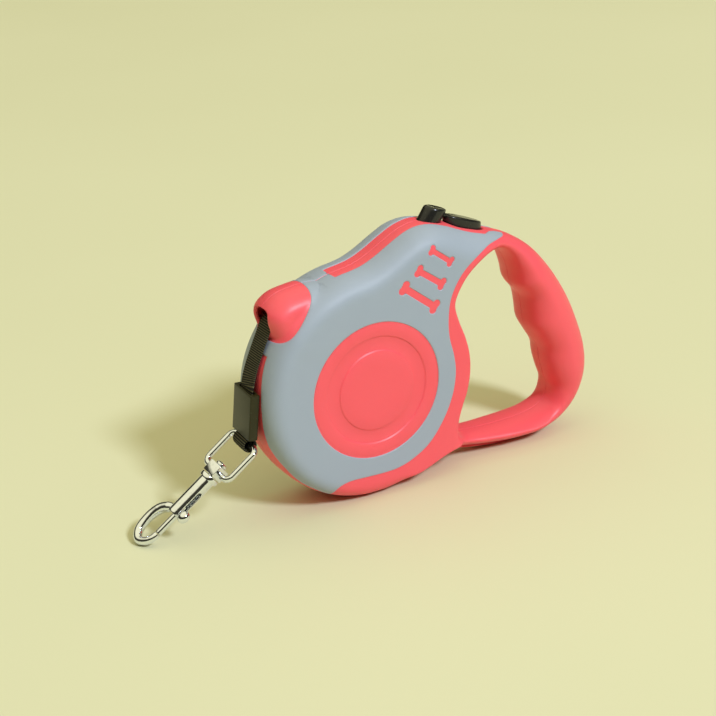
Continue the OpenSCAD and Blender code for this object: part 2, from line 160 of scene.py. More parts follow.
class Value:
    """One output of a shader node. Arithmetic on it, with the number on either side, adds Math nodes."""

    def __init__(self, finish, socket):
        self.finish, self.socket = finish, socket

    def maths(self, operation, *values):
        return self.finish.node("ShaderNodeMath", {"operation": operation}, dict(enumerate(values)))

    def __add__(self, other):
        return self.maths("ADD", self, other)

    def __sub__(self, other):
        return self.maths("SUBTRACT", self, other)

    def __rsub__(self, other):
        return self.maths("SUBTRACT", other, self)

    def __mul__(self, other):
        return self.maths("MULTIPLY", self, other)

    def __pow__(self, other):
        return self.maths("POWER", self, other)

    def clipped(self):
        return self.maths("MINIMUM", self.maths("MAXIMUM", self, 0.0), 1.0)

    __radd__, __rmul__ = __add__, __mul__


class Finish:
    """A procedural material on the principled shader."""

    def __init__(self, name, **constants):
        self.material = bpy.data.materials.new(name)
        self.material.use_nodes = True
        self.tree = self.material.node_tree
        self.shader = self.tree.nodes["Principled BSDF"]
        self.set(**constants)

    def node(self, kind, settings=None, inputs=None, output=0):
        """Adds a node: its settings first, with a ramp's stops among them, then its inputs."""
        n = self.tree.nodes.new(kind)
        for key, value in (settings or {}).items():
            if key == "stops":
                for k, (at, colour) in enumerate(value):
                    stop = n.color_ramp.elements[k] if k < 2 else n.color_ramp.elements.new(at)
                    stop.position, stop.color = at, colour
            else:
                setattr(n, key, value)
        for key, value in (inputs or {}).items():
            self.feed(n.inputs[key], value)
        return Value(self, n.outputs[output])

    def feed(self, socket, value):
        """Links a Value to a socket, or sets a plain number or colour on it."""
        if isinstance(value, Value):
            self.tree.links.new(value.socket, socket)
        else:
            socket.default_value = value

    def set(self, **inputs):
        """Feeds the shader's sockets, named with _ for a space."""
        for key, value in inputs.items():
            self.feed(self.shader.inputs[key.replace("_", " ")], value)

    def place(self):
        """Position on the piece, in metres."""
        return self.node("ShaderNodeTexCoord", output="Object")

    def noise(self, per_metre, detail=2.0, rough=0.5):
        """Noise from 0 to 1 with about per_metre lumps in a metre."""
        return self.node("ShaderNodeTexNoise", None, {"Vector": self.place(), "Scale": per_metre,
                                                      "Detail": detail, "Roughness": rough})

    def mix(self, share, a, b):
        """Colour a where share is 0 and b where it is 1."""
        return self.node("ShaderNodeMix", {"data_type": "RGBA"}, {0: share, 6: a, 7: b}, output=2)

    def bump(self, height, depth):
        """Normals for a height from 0 to 1 that stands depth metres."""
        return self.node("ShaderNodeBump", None, {"Height": height, "Distance": depth, "Strength": 1.0})


def woven():
    """Black tape: a painted highlight in pale olive along each rib's crest, where it is also shinier, and the warp as
    fine lines along it.
    """
    f = Finish("woven_tape", Specular_IOR_Level=0.35)
    uv = f.node("ShaderNodeTexCoord", output="UV")
    across = f.node("ShaderNodeSeparateXYZ", None, {0: uv}, output=0)
    along = f.node("ShaderNodeSeparateXYZ", None, {0: uv}, output=1)
    rib = along.maths("SINE", along * (2 * math.pi) - math.pi / 2) * 0.5 + 0.5
    warp = across.maths("SINE", across * (2 * math.pi * 22)) * 0.5 + 0.5
    # Painted highlight: the crest of each rib is coloured pale olive, broken by the warp and a little noise.
    painted_crest_highlight = (rib ** 3.0 * (warp * 0.35 + 0.65 + f.noise(900.0) * 0.4 - 0.2)).clipped()
    f.set(Base_Color=f.mix(painted_crest_highlight, paint(13, 12, 8), paint(104, 99, 70)), Roughness=0.8 - painted_crest_highlight * 0.25,
          Normal=f.bump(warp * 0.5 + f.noise(2500.0) * 0.5, 0.00006))
    return f


TAPE_W, TAPE_T, RIB = 10.0, 0.8, 0.9
ROUTE = [[-10.5, -4.2, 38], [-16, -4.2, 37.7], [-22.5, -4.15, 37.3], [-27, -2.9, 36.9], [-31.5, -1.1, 36.5],
         [-35.3, -0.1, 35.9], [-38, 0, 34.9], [-39.9, 0, 32.6], [-41.4, 0, 29.4], [-43.1, 0, 26], [-45, 0, 22],
         [-46.8, 0, 18], [-48.5, -0.4, 14.2], [-49.8, -1.1, 11.2], [-50.6, -1.5, 9], [-51.22, -1.19, 3]]


def strap(path, along, side):
    """A flat tape carried along a path: a rounded section with straight faces, TAPE_W by TAPE_T, whose
    thickness swells by a rounded rib every RIB. side is the direction of its width at each point."""
    ahead = unit(np.gradient(path, axis=0))
    width = unit(side - (side * ahead).sum(1, keepdims=True) * ahead)
    out = np.cross(ahead, width)
    a = np.linspace(0, 2 * np.pi, 28, endpoint=False) + 0.1
    u = np.sign(np.cos(a)) * np.abs(np.cos(a)) ** 0.35
    v = np.sign(np.sin(a)) * np.abs(np.sin(a)) ** 0.8
    swell = 0.66 + 0.4 * np.sqrt(np.abs(np.sin(np.pi * along / RIB)))[:, None, None]
    rings = path[:, None] + width[:, None] * (u * TAPE_W / 2)[None, :, None] \
        + out[:, None] * (v * TAPE_T / 2)[None, :, None] * swell
    uv = np.stack(np.broadcast_arrays(u[None] / 2 + 0.5, (along / RIB)[:, None]), -1)
    return rings, uv.reshape(-1, 2)


def with_uv(piece, uv):
    """Gives each corner of the mesh its point's own place on the tape."""
    corner = np.zeros(len(piece.data.loops), np.int32)
    piece.data.loops.foreach_get("vertex_index", corner)
    piece.data.uv_layers.new(name="weave").data.foreach_set("uv", uv[corner].astype(np.float32).ravel())


weave = woven()
tape_path, tape_run = evenly(through(ROUTE, 12), RIB / 8)
lean = np.radians(3) * np.clip((tape_run - tape_run[-1] + 26) / 24, 0, 1)
tape_rings, tape_uv = strap(tape_path, tape_run, np.column_stack([0 * lean, np.cos(lean), np.sin(lean)]))
tape = moulded("tape_strap", loft(placed(tape_rings)), weave, stands_for=["tape"], crease=60)
with_uv(tape, tape_uv)
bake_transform(tape)

FERRULE_TOP = np.array([-50.6, -1.5, 9.0])
FERRULE_L = 19.4
roll, pitch = np.radians(3), np.radians(6)
HANG = np.array([[math.cos(pitch), 0, math.sin(pitch)], [0, 1, 0], [-math.sin(pitch), 0, math.cos(pitch)]]) \
    @ np.array([[1, 0, 0], [0, math.cos(roll), -math.sin(roll)], [0, math.sin(roll), math.cos(roll)]])


def hung(points):
    """Places points given from the top of the ferrule, with +Z up along it."""
    return placed(np.asarray(points, float) @ HANG.T + FERRULE_TOP)


turn = np.radians(np.linspace(100, 440, 60))
loop_line = np.vstack([np.column_stack([np.full(5, -0.42), np.linspace(9, 3.4, 5)]),
                       2.75 * np.column_stack([np.cos(turn), np.sin(turn)]) + [0.1, 0.0],
                       np.column_stack([np.full(5, 0.42), np.linspace(3.4, 9, 5)])])
loop_path, loop_run = evenly(loop_line, RIB / 8)
loop_path = np.column_stack([loop_path[:, 0], 0 * loop_run, loop_path[:, 1] - FERRULE_L - 3.3])
loop_rings, loop_uv = strap(loop_path, loop_run, np.tile([0.0, 1.0, 0.0], (len(loop_run), 1)))
loop = moulded("tape_bar_loop", loft(hung(loop_rings)), weave, "tape_end", ["tape_loop"], 60)
with_uv(loop, loop_uv)


# ---- Ferrule ----
# A black moulded box that closes over the doubled tape, with bevelled corners and a lip round its mouth.
# Its faces are glossy, and its corners are rubbed to small bright specks.
def glossy_black(name, tint, rough, coat=0.25):
    """Gloss plastic with faint flow marks and a few rubbed specks."""
    f = Finish(name, Coat_Weight=coat, Coat_Roughness=0.12, Specular_IOR_Level=0.3)
    flow = f.noise(140.0, 3.0)
    speck = (f.noise(1900.0, 1.0) * 9.0 - 6.6).clipped()
    paler = tuple(1.25 * c for c in tint[:3]) + (1.0,)
    f.set(Base_Color=f.mix(speck * 0.5, f.mix(flow, tint, paler), paint(170, 170, 150)),
          Roughness=rough + flow * 0.1, Normal=f.bump(flow * 0.6 + f.noise(1500.0) * 0.4, 0.00004))
    return f


def rounded(half_x, half_y, radius, z, corner=6):
    """Rectangle of points at height z whose corners are arcs of that radius."""
    a = np.radians(np.linspace(0, 90, corner))
    quarter = np.column_stack([np.cos(a), np.sin(a)]) * radius
    ring = []
    for sx, sy, flip in ((1, 1, False), (-1, 1, True), (-1, -1, False), (1, -1, True)):
        q = quarter[::-1] if flip else quarter
        ring.append(np.column_stack([sx * (half_x - radius + q[:, 0]), sy * (half_y - radius + q[:, 1])]))
    ring = np.vstack(ring)
    return np.column_stack([ring, np.full(len(ring), z)])


hx, hy = 2.0, 7.6    # half its thickness and half its width
ferrule_rings = [rounded(1.0, 5.4, 0.3, -FERRULE_L + 3), rounded(1.0, 5.4, 0.3, -FERRULE_L + 0.1),
                 rounded(1.15, 5.55, 0.4, -FERRULE_L), rounded(hx - 0.3, hy - 0.3, 0.5, -FERRULE_L),
                 rounded(hx - 0.08, hy - 0.08, 0.6, -FERRULE_L + 0.1), rounded(hx, hy, 0.65, -FERRULE_L + 0.35),
                 rounded(hx, hy, 0.65, -1.1), rounded(hx, hy, 0.65, -0.35), rounded(hx - 0.08, hy - 0.08, 0.6, -0.1),
                 rounded(hx - 0.3, hy - 0.3, 0.5, 0), rounded(1.2, 5.7, 0.4, 0), rounded(1.0, 5.4, 0.3, -0.25),
                 rounded(1.0, 5.4, 0.3, -3)]
ferrule_black = glossy_black("ferrule_black", paint(38, 36, 14), 0.3, 0.06)
moulded("ferrule_box", loft(hung(np.array(ferrule_rings))), ferrule_black, "tape_end", ["ferrule"], 30)


# ---- Ring and swivel block ----
# A square ring of plated wire 2.6 mm thick with round corners. Its lower bar is cast into a bevelled block,
# where a rivet lets the snap turn.
BAR = np.array([-52.6, -0.3, -13.4])
snap_pitch, snap_yaw = np.radians(53.9), np.radians(-3.1)


def about_z(angle):
    """The matrix of a turn about +Z."""
    c, s = math.cos(angle), math.sin(angle)
    return np.array([[c, -s, 0], [s, c, 0], [0, 0, 1]])


def snapped(points, roll_deg):
    """Places points of the ring or the snap: +Z runs up its length, and roll_deg turns it about that."""
    c, s = math.cos(snap_pitch), math.sin(snap_pitch)
    tip = np.array([[c, 0, s], [0, 1, 0], [-s, 0, c]])
    turn_by = about_z(snap_yaw) @ tip @ about_z(math.radians(roll_deg))
    return placed(np.asarray(points, float) @ turn_by.T + BAR)


def nickel():
    """Bright nickel plate: nearly a mirror, with faint ripples from the casting and thin dull patches."""
    f = Finish("nickel_plate", Metallic=1.0)
    ripple = f.noise(260.0, 2.0)
    dull = (f.noise(700.0, 3.0) * 3.0 - 1.5).clipped()
    f.set(Base_Color=f.mix(dull, paint(236, 240, 250), paint(222, 226, 236)), Roughness=0.04 + dull * 0.06,
          Normal=f.bump(ripple * 0.8 + f.noise(1800.0) * 0.2, 0.00005))
    return f


def rod_along(path, radius, around=False, sides=20, normal=(1.0, 0.0, 0.0)):
    """Round bar along a flat path: rings of that radius, square to the path."""
    ahead = unit(np.gradient(path, axis=0)) if not around else unit(np.roll(path, -1, 0) - np.roll(path, 1, 0))
    n = np.broadcast_to(np.asarray(normal, float), path.shape)
    b = np.linspace(0, 2 * np.pi, sides, endpoint=False)[None, :, None]
    r = np.broadcast_to(np.asarray(radius, float), (len(path),))[:, None, None]
    return loft(path[:, None] + r * (np.cos(b) * n[:, None] + np.sin(b) * np.cross(ahead, n)[:, None]), around)


def turned(profile, sides=48):
    """A profile of [radius, height] turned about +Z; a radius of 0 closes it."""
    p = np.asarray(profile, float)
    a = np.linspace(0, 2 * np.pi, sides, endpoint=False)
    rings = np.stack([p[:, :1] * np.cos(a), p[:, :1] * np.sin(a), np.broadcast_to(p[:, 1:], (len(p), sides))], -1)
    return loft(rings)


plate = nickel()
RING_ROLL, SNAP_ROLL = 11.0, 10.0
RING_W, RING_H, BEND, WIRE = 18.0, 16.8, 3.0, 1.3
corner_at = [(RING_W / 2 - BEND, -BEND, 0), (-RING_W / 2 + BEND, -BEND, 90),
             (-RING_W / 2 + BEND, BEND - RING_H, 180), (RING_W / 2 - BEND, BEND - RING_H, 270)]
arcs = [np.column_stack([y + BEND * np.cos(np.radians(a0 + np.linspace(0, 90, 14))),
                         z + BEND * np.sin(np.radians(a0 + np.linspace(0, 90, 14)))]) for y, z, a0 in corner_at]
ring_line = np.vstack(arcs)
ring_points, ring_faces = rod_along(np.column_stack([0 * ring_line[:, 0], ring_line]), WIRE, around=True)
block = [rounded(2.6, 3.0, 0.2, -2.6), rounded(2.9, 3.3, 0.2, -2.5), rounded(3.0, 3.4, 0.25, -2.2),
         rounded(3.0, 3.4, 0.25, 2.2), rounded(2.9, 3.3, 0.2, 2.5), rounded(2.6, 3.0, 0.2, 2.6)]
block_points, block_faces = loft(np.array(block) - [0, 0, RING_H])
ring_shape = joined((ring_points, ring_faces), (block_points, block_faces))
moulded("ring_and_block", (snapped(ring_shape[0], RING_ROLL), ring_shape[1]), plate, "bail", ["bail"], 32)
rivet = turned([[0, -20.1], [1.5, -20.1], [1.5, -14.2], [2.2, -14.15], [2.45, -13.95], [2.5, -13.6], [2.35, -13.1],
                [1.8, -12.7], [0.9, -12.5], [0, -12.45]])
moulded("swivel_pin", (snapped(rivet[0], SNAP_ROLL), rivet[1]), plate, "snap", ["swivel_rivet"], 30)


# ---- Snap ----
# A die-cast bolt snap, nickel plated. The collar, the slotted barrel and the hook are one casting; the hook is
# thickest where it leaves the barrel and thins towards its nose.
def cut_at(points, faces, field, keep_below=True):
    """Cuts a surface of triangles along the line where field is 0. Each triangle that the line crosses is
    split where the field, taken as straight along an edge, is 0. Without keep_below only the part with a
    field above 0 stays. Returns points, triangles and the field on them."""
    t = np.asarray(faces, np.int64)
    up = field[t] > 0
    count = up.sum(1)
    whole = t[count == 3] if not keep_below else t[(count == 3) | (count == 0)]
    crossed, side = t[(count == 1) | (count == 2)], up[(count == 1) | (count == 2)]
    if not len(crossed):
        used, back_to = np.unique(whole, return_inverse=True)
        return points[used], back_to.reshape(-1, 3), field[used]
    lone = side.sum(1) == 1
    first = np.where(lone, side.argmax(1), (~side).argmax(1))
    row = np.arange(len(crossed))
    p, q, r = (crossed[row, (first + k) % 3] for k in range(3))
    edges = np.sort(np.vstack([np.column_stack([p, q]), np.column_stack([p, r])]), axis=1)
    edge, which = np.unique(edges, axis=0, return_inverse=True)
    which = which.ravel()
    fa, fb = field[edge[:, 0]], field[edge[:, 1]]
    share = np.clip(fa / (fa - fb), 0.001, 0.999)[:, None]
    made = points[edge[:, 0]] * (1 - share) + points[edge[:, 1]] * share
    pq, pr = len(points) + which[:len(p)], len(points) + which[len(p):]
    tip = np.column_stack([p, pq, pr])
    base = np.vstack([np.column_stack([pq, q, r]), np.column_stack([pq, r, pr])])
    two = np.r_[lone, lone]
    parts = [whole, tip[lone], base[~two]] + ([tip[~lone], base[two]] if keep_below else [])
    t = np.vstack(parts)
    points, field = np.vstack([points, made]), np.r_[field, np.zeros(len(made))]
    used, back_to = np.unique(t, return_inverse=True)
    return points[used], back_to.reshape(-1, 3), field[used]


def in_triangles(faces):
    """Quads as pairs of triangles."""
    q = np.asarray(faces)
    return np.vstack([q[:, [0, 1, 2]], q[:, [0, 2, 3]]])


def walled(piece, thickness):
    """Gives an open surface its wall, inwards from the face."""
    wall = piece.modifiers.new("wall", "SOLIDIFY")
    wall.thickness, wall.offset, wall.use_rim = thickness / 1000, -1.0, True
    return piece


BARREL_R, BARREL_TOP, BARREL_END, BOLT_V = 3.2, -21.5, -40.5, -0.9
around_a = np.linspace(0, 2 * np.pi, 96, endpoint=False)
down_z = np.r_[BARREL_TOP + 0.2, np.linspace(BARREL_TOP - 0.3, BARREL_END + 0.4, 46), BARREL_END + 0.12, BARREL_END]
down_r = np.r_[np.full(47, BARREL_R), BARREL_R - 0.08, BARREL_R - 0.3]
tube_rings = np.stack([down_r[:, None] * np.cos(around_a), down_r[:, None] * np.sin(around_a),
                       np.broadcast_to(down_z[:, None], (len(down_z), 96))], -1)
tube_points, tube_faces = loft(tube_rings, caps=False)
slot_top, slot_end = -28.4, -41.2
over = np.hypot(tube_points[:, 0], np.maximum(tube_points[:, 2] - slot_top, 0)) - 1.2
over = np.where((tube_points[:, 1] < 0) & (tube_points[:, 2] > slot_end), over, 3.0)
tube_points, tube_tris, _ = cut_at(tube_points, in_triangles(tube_faces), over, keep_below=False)
outer = np.cross(tube_points[tube_tris[:, 1]] - tube_points[tube_tris[:, 0]],
                 tube_points[tube_tris[:, 2]] - tube_points[tube_tris[:, 0]])
if (outer[:, :2] * tube_points[tube_tris[:, 0], :2]).sum() < 0:
    tube_tris = tube_tris[:, ::-1]
barrel = moulded("snap_barrel", (snapped(tube_points, SNAP_ROLL), tube_tris.tolist()), plate, "snap",
                 ["snap_body"], 32, outwards=False)
walled(barrel, 0.75)

hook_line = through([[2, 38.6], [4.8, 39.8], [7.8, 42.4], [9.4, 46.4], [9.6, 51], [8.5, 55], [5, 57.5],
                     [1.5, 56.1], [-0.5, 53.4], [-0.9, 50.6]], 10)
hook_line, hook_run = evenly(hook_line, 0.35)
thick = np.interp(hook_run / hook_run[-1], [0, 0.1, 0.24, 0.45, 0.7, 0.88, 0.97, 1],
                  [1.4, 2.2, 2.3, 2.05, 1.8, 1.65, 1.5, 1.3])
hook = rod_along(np.column_stack([0 * hook_run, hook_line[:, 0], -hook_line[:, 1]]), thick, sides=24)
collar = turned([[0, -21.8], [3.6, -21.8], [4.0, -21.65], [4.1, -21.3], [4.1, -20.1], [3.95, -19.8],
                 [3.5, -19.7], [0, -19.7]])
lug = turned([[0, -40.4], [1.5, -40.4], [1.9, -39.8], [1.9, -37.7], [0, -37.7]])
root = (lug[0] + [0, 1.0, 0], lug[1])
casting = joined(hook, collar, root)
moulded("snap_hook", (snapped(casting[0], SNAP_ROLL), casting[1]), plate, "snap", (), 34)

# The bolt slides in the barrel on a small coil spring, and its thumb knob stands out through the slot.
bolt_pin = turned([[0, -50.3], [1.0, -50.3], [1.3, -50.05], [1.35, -49.7], [1.35, -35.5], [1.1, -35.3],
                   [0, -35.3]], 32)
bolt_pin = (bolt_pin[0] + [0, BOLT_V, 0], bolt_pin[1])
KNOB_AT = 38.6
knob = turned([[0, 0], [0.95, 0], [0.95, 2.2], [1.6, 2.7], [2.3, 3.5], [2.45, 4.3], [2.2, 5.3], [1.5, 6.1],
               [0.7, 6.5], [0, 6.6]], 32)
knob_points = np.column_stack([knob[0][:, 0] * 0.92, BOLT_V - knob[0][:, 2], knob[0][:, 1] * 1.12 - KNOB_AT])
bolt = joined(bolt_pin, (knob_points, knob[1]))
moulded("snap_slider", (snapped(bolt[0], SNAP_ROLL), bolt[1]), plate, "bolt", ["snap_bolt"], 34)


# ---- Casing halves ----
# Two injection-moulded halves in coral plastic, screwed together from the right. The walls stand square to the
# seam at the drum and roll over to a flat side; the grip is oval, with four finger grooves on its inner side.
def coral(name):
    """Glossy coral plastic: slight sink marks, a fine moulded texture and a little light inside the wall."""
    f = Finish(name, Subsurface_Weight=0.12, Subsurface_Radius=(1.0, 0.2, 0.12), Subsurface_Scale=0.0015,
               Specular_IOR_Level=0.5)
    cloud = f.noise(28.0, 3.0)
    grain = f.noise(2600.0, 2.0)
    f.set(Base_Color=f.mix(cloud, paint(247, 86, 98), paint(249, 95, 105)),
          Roughness=0.36 + cloud * 0.06 + grain * 0.05,
          Normal=f.bump(cloud * 0.55 + grain * 0.45, 0.00002))
    return f


def depth(x, z, outline):
    """Distance to a closed flat outline, above 0 inside it. The nearest foot on any stretch of the outline gives
    the distance, and the count of stretches crossed on a level line to the right gives the side."""
    a = np.asarray(outline, float)
    d = np.roll(a, -1, 0) - a
    rise = np.where(d[:, 1] == 0, 1e-9, d[:, 1])
    found = []
    every = np.column_stack([np.ravel(x), np.ravel(z)])
    for p in np.array_split(every, max(1, len(every) // 3000)):
        vx, vz = p[:, :1] - a[:, 0], p[:, 1:] - a[:, 1]
        t = np.clip((vx * d[:, 0] + vz * d[:, 1]) / (d**2).sum(1), 0, 1)
        gap = np.sqrt(((vx - t * d[:, 0]) ** 2 + (vz - t * d[:, 1]) ** 2).min(1))
        crossed = ((vz < 0) != (vz - d[:, 1] < 0)) & (vz / rise * d[:, 0] > vx)
        found.append(np.where(crossed.sum(1) % 2 == 1, gap, -gap))
    return np.concatenate(found).reshape(np.shape(x))


def smoothly(x, lo, hi):
    """0 below lo and 1 above hi, with an S-curve between."""
    t = np.clip((x - lo) / (hi - lo), 0, 1)
    return t * t * (3 - 2 * t)


def rolled(d, radius, power):
    """Share of the full thickness at distance d from an edge that rolls over within radius."""
    return (1 - (1 - np.clip(d / radius, 0, 1)) ** power) ** (1 / power)


DRUM_R, HALF_W = 48.9, 16.0
GRIP = [[20, -46.2], [31, -43.6], [42, -43.6], [56, -46.2], [68, -48], [77, -48.67], [84, -48.6],
        [91, -47], [98, -43], [105, -36], [109.6, -27.5], [111.4, -18.5], [110.4, -8.5], [107.2, 2],
        [103, 12.5], [97.6, 22.5], [91, 32], [83.8, 40], [75.5, 46], [67, 50], [58, 53], [49, 56],
        [40, 59.4], [31, 61.2], [23, 60], [15.5, 56.6], [8, 52.6], [1.5, 49.9], [-5, 48.6]]
HOLE = [[92.6, -34], [94.4, -28], [92.4, -21.5], [90.6, -15], [89.6, -8.5], [86.2, -2.5], [82.6, 4],
        [81.6, 11], [80.2, 18], [76, 24], [74.6, 30.5], [71.5, 38.5], [66, 43], [57, 42.6],
        [49, 39], [43.2, 33.8], [39.9, 27.6], [41.4, 20.1], [44.2, 12.5], [46, 4.5], [46.2, -4],
        [45, -11.5], [42.8, -19], [41.4, -26], [42.4, -33], [47.5, -37], [57, -38.3], [68, -38.8],
        [78, -38.6], [87, -37.3]]
HOOD = [[-12, 44], [-22, 46.6], [-28, 46.4], [-34, 45.4], [-38.2, 43.4], [-41.2, 40.6], [-42.3, 37.6],
        [-41.9, 34.2], [-39.6, 28], [-35, 20], [-22, 18], [-9, 30]]
round_a = np.radians(np.linspace(98, 282, 130))
drum_line = DRUM_R * np.column_stack([np.cos(round_a), np.maximum(np.sin(round_a), -48.78 / DRUM_R)])
casing_line = np.vstack([drum_line, through(GRIP, 6)])
hole_line, hood_line = through(HOLE, 6, closed=True), through(HOOD, 6, closed=True)
EYE = np.array([66.0, 0.0])


def reach(angles, outline):
    """How far a ray from EYE goes to the outline's furthest crossing: the ray and each stretch are two
    straight lines, and their crossing comes from two cross products."""
    ux, uz = np.cos(angles)[:, None], np.sin(angles)[:, None]
    a = outline - EYE
    e = np.roll(outline, -1, 0) - outline
    den = ux * e[:, 1] - uz * e[:, 0]
    den = np.where(np.abs(den) < 1e-12, 1e-12, den)
    far = (a[:, 0] * e[:, 1] - a[:, 1] * e[:, 0]) / den
    along = (a[:, 0] * uz - a[:, 1] * ux) / den
    return np.where((along >= 0) & (along <= 1) & (far > 0), far, 0).max(1)


def half_thickness(x, z):
    """How far the casing's side stands from the seam. The half width narrows to the grip and is rolled off at the
    outer edge and at the hand hole; the mouth's hood is a second rolled form, joined by an 8th-power norm."""
    outside, inside = depth(x, z, casing_line), -depth(x, z, hole_line)
    about = np.degrees(np.arctan2(z - EYE[1], x - EYE[0]))
    under = smoothly(x, 4, 18) * (1 - smoothly(x, 86, 104)) * smoothly(-z, 24, 34)
    front = 1 - smoothly(x, 20, 46)
    edge = rolled(outside, 12.5 - 4.9 * under - 3.5 * front, 2.15 - 1.03 * under + 0.6 * front)
    turns = [-180, -150, -130, -116, -70, -55, -42, 60, 74, 90, 112, 130, 180]
    hole_r = np.interp(about, turns, [2.8, 3.2, 6.0, 7.0, 6.5, 7.5, 10.5, 10.5, 10, 7, 4.5, 3.0, 2.8])
    hole_p = np.interp(about, turns, [4.0, 3.3, 2.3, 2.2, 2.2, 2.2, 2.2, 2.2, 2.2, 2.3, 2.8, 3.6, 4.0])
    broad = HALF_W - 2.6 * smoothly(x, 40, 104)
    body = broad * edge * rolled(inside, hole_r, hole_p)
    hood = 11.6 * rolled(depth(x, z, hood_line), 7.5, 2.2)
    return (body**8 + hood**8) ** 0.125


angles = np.linspace(-np.pi, np.pi, 6001)[:-1]
rim = np.maximum(reach(angles, casing_line), reach(angles, hood_line))
rim_xz = EYE + rim[:, None] * np.column_stack([np.cos(angles), np.sin(angles)])
by_hood = np.hypot(rim_xz[:, 0] + 34, rim_xz[:, 1] - 38) < 20
pace = np.linalg.norm(np.roll(rim_xz, -1, 0) - rim_xz, axis=1) * (1 + 1.3 * by_hood)
RAYS, ROWS = 540, 84
angles = np.interp(np.linspace(0, pace.sum(), RAYS, endpoint=False), np.r_[0, np.cumsum(pace)], np.r_[angles, np.pi])
near_r = reach(angles, hole_line)
far_r = np.maximum(reach(angles, casing_line), reach(angles, hood_line))
share = (1 - np.cos(np.pi * np.arange(ROWS) / (ROWS - 1))) / 2
radii = near_r[:, None] + share * (far_r - near_r)[:, None]
grid_x, grid_z = EYE[0] + radii * np.cos(angles)[:, None], EYE[1] + radii * np.sin(angles)[:, None]
grid_y = half_thickness(grid_x, grid_z)
grid_y[:, [0, -1]] = 0.16
shell = np.stack([grid_x, -grid_y, grid_z], -1)
rays = np.column_stack([np.cos(angles), np.sin(angles)])
lips = [EYE + (near_r + 0.22)[:, None] * rays, EYE + (far_r - 0.24)[:, None] * rays]
lips = [np.column_stack([lip[:, 0], 0 * angles, lip[:, 1]])[:, None] for lip in lips]
shell_points = np.concatenate([lips[0], shell, lips[1]], 1).reshape(-1, 3)
n_rows = ROWS + 2
i, j = np.meshgrid(np.arange(RAYS), np.arange(n_rows - 1), indexing="ij")
k = (i + 1) % RAYS
shell_quads = np.stack([i * n_rows + j, i * n_rows + j + 1, k * n_rows + j + 1, k * n_rows + j], -1)
shell_tris = in_triangles(shell_quads.reshape(-1, 4))


def facing_left(points, tris):
    """Turns all the triangles over if most of them face right."""
    n = np.cross(points[tris[:, 1]] - points[tris[:, 0]], points[tris[:, 2]] - points[tris[:, 0]])
    return tris[:, ::-1] if n[:, 1].sum() > 0 else tris


shell_tris = facing_left(shell_points, shell_tris)
PAD_X, LOCK, LEAN = (43.8, 61.4), np.array([36.0, 59.0]), np.radians(36)


def pad_half(x):
    """Half width of the brake's thumb pad along its length: a leaf, widest behind its middle."""
    t = np.clip((x - PAD_X[0]) / (PAD_X[1] - PAD_X[0]), 0, 1)
    return 4.5 * np.clip(4 * t * (1 - t), 0, 1) ** 0.42 * (0.93 + 0.07 * t)


def beside_controls(p):
    """How far points of the casing are outside the openings for the lock and the pad, and outside the mouth."""
    x, y, z = p.T
    across = (x - LOCK[0]) * math.cos(LEAN) - (z - LOCK[1]) * math.sin(LEAN)
    lock = np.where(z > 48, np.hypot(across / 1.13, y) - 4.5, 9.0)
    t = (x - sum(PAD_X) / 2) / (PAD_X[1] - PAD_X[0] + 1.2) * 2
    pad = np.where(z > 48, np.hypot(y / 5.0, np.abs(t) ** 1.7) - 1, 9.0) * 4
    mouth = ((np.abs(y) / 6.0) ** 3.5 + (np.abs(z - 35.5) / 5.3) ** 3.5) ** (1 / 3.5) * 5.3 - 5.3
    mouth = np.where((x < -34) & (z > 20), mouth, 9.0)
    return np.minimum(np.minimum(lock, pad), mouth)


WINDOW_R = 29.0
SCREWS, SCREW_R = [[41, -36.6], [80, 37.5], [102.4, -8], [88, -42.6]], 2.7
coral_plastic = coral("coral_plastic")
for side, hand in ((-1, "left"), (1, "right")):
    points, tris = shell_points, shell_tris
    field = np.minimum(beside_controls(points), np.hypot(points[:, 0], points[:, 2]) - WINDOW_R + 0.5)
    if side > 0:
        for sx, sz in SCREWS:
            off_screw = np.hypot(points[:, 0] - sx, points[:, 2] - sz) - SCREW_R
            field = np.minimum(field, np.where(points[:, 1] < -4, off_screw, 9.0))
    points, tris, _ = cut_at(points, tris, field, keep_below=False)
    if side > 0:
        points, tris = points * [1, -1, 1], tris[:, ::-1]
    half = moulded(f"casing_{hand}", (placed(points), tris.tolist()), coral_plastic, "housing",
                   [f"{hand}_shell"], 34, outwards=False)
    walled(half, 1.5)


# ---- Side discs ----
# A round coral plate lies in the window of each side: a flat ring and a flat centre, with a shallow band turned
# between them.
disc_profile = [[0, -1.4], [28.9, -1.4], [28.9, -0.25], [28.82, -0.06], [28.6, 0.02], [23.3, 0.02], [23.18, -0.03],
                [22.88, -0.5], [22.72, -0.56], [17.34, -0.56], [17.18, -0.5], [16.88, -0.03], [16.76, 0.02],
                [12, 0.02], [6, 0.02], [0, 0.02]]
disc = turned(disc_profile, 160)
for side, hand in ((-1, "left"), (1, "right")):
    spun = np.column_stack([disc[0][:, 0], side * (HALF_W + disc[0][:, 2]), disc[0][:, 1]])
    moulded(f"side_disc_{hand}", (placed(spun), disc[1]), coral_plastic, "housing", (), 50)


# ---- Overmould ----
# Soft grey rubber moulded over both halves, 0.3 mm proud, with rounded edges. It leaves the hood, a strip along
# the top, the front and bottom of the drum, the round window and three bones in coral.
def soft_grey():
    """Matt rubber with a sparkling fine grain that shows in its highlights."""
    f = Finish("soft_grey_rubber", Specular_IOR_Level=0.55, Sheen_Weight=0.08)
    cloud = f.noise(30.0, 3.0)
    grain = f.noise(3400.0, 2.0, 0.7)
    f.set(Base_Color=f.mix(cloud, paint(154, 165, 179), paint(160, 171, 185)),
          Roughness=0.44 + cloud * 0.05 + grain * 0.12,
          Normal=f.bump(grain, 0.000045))
    return f


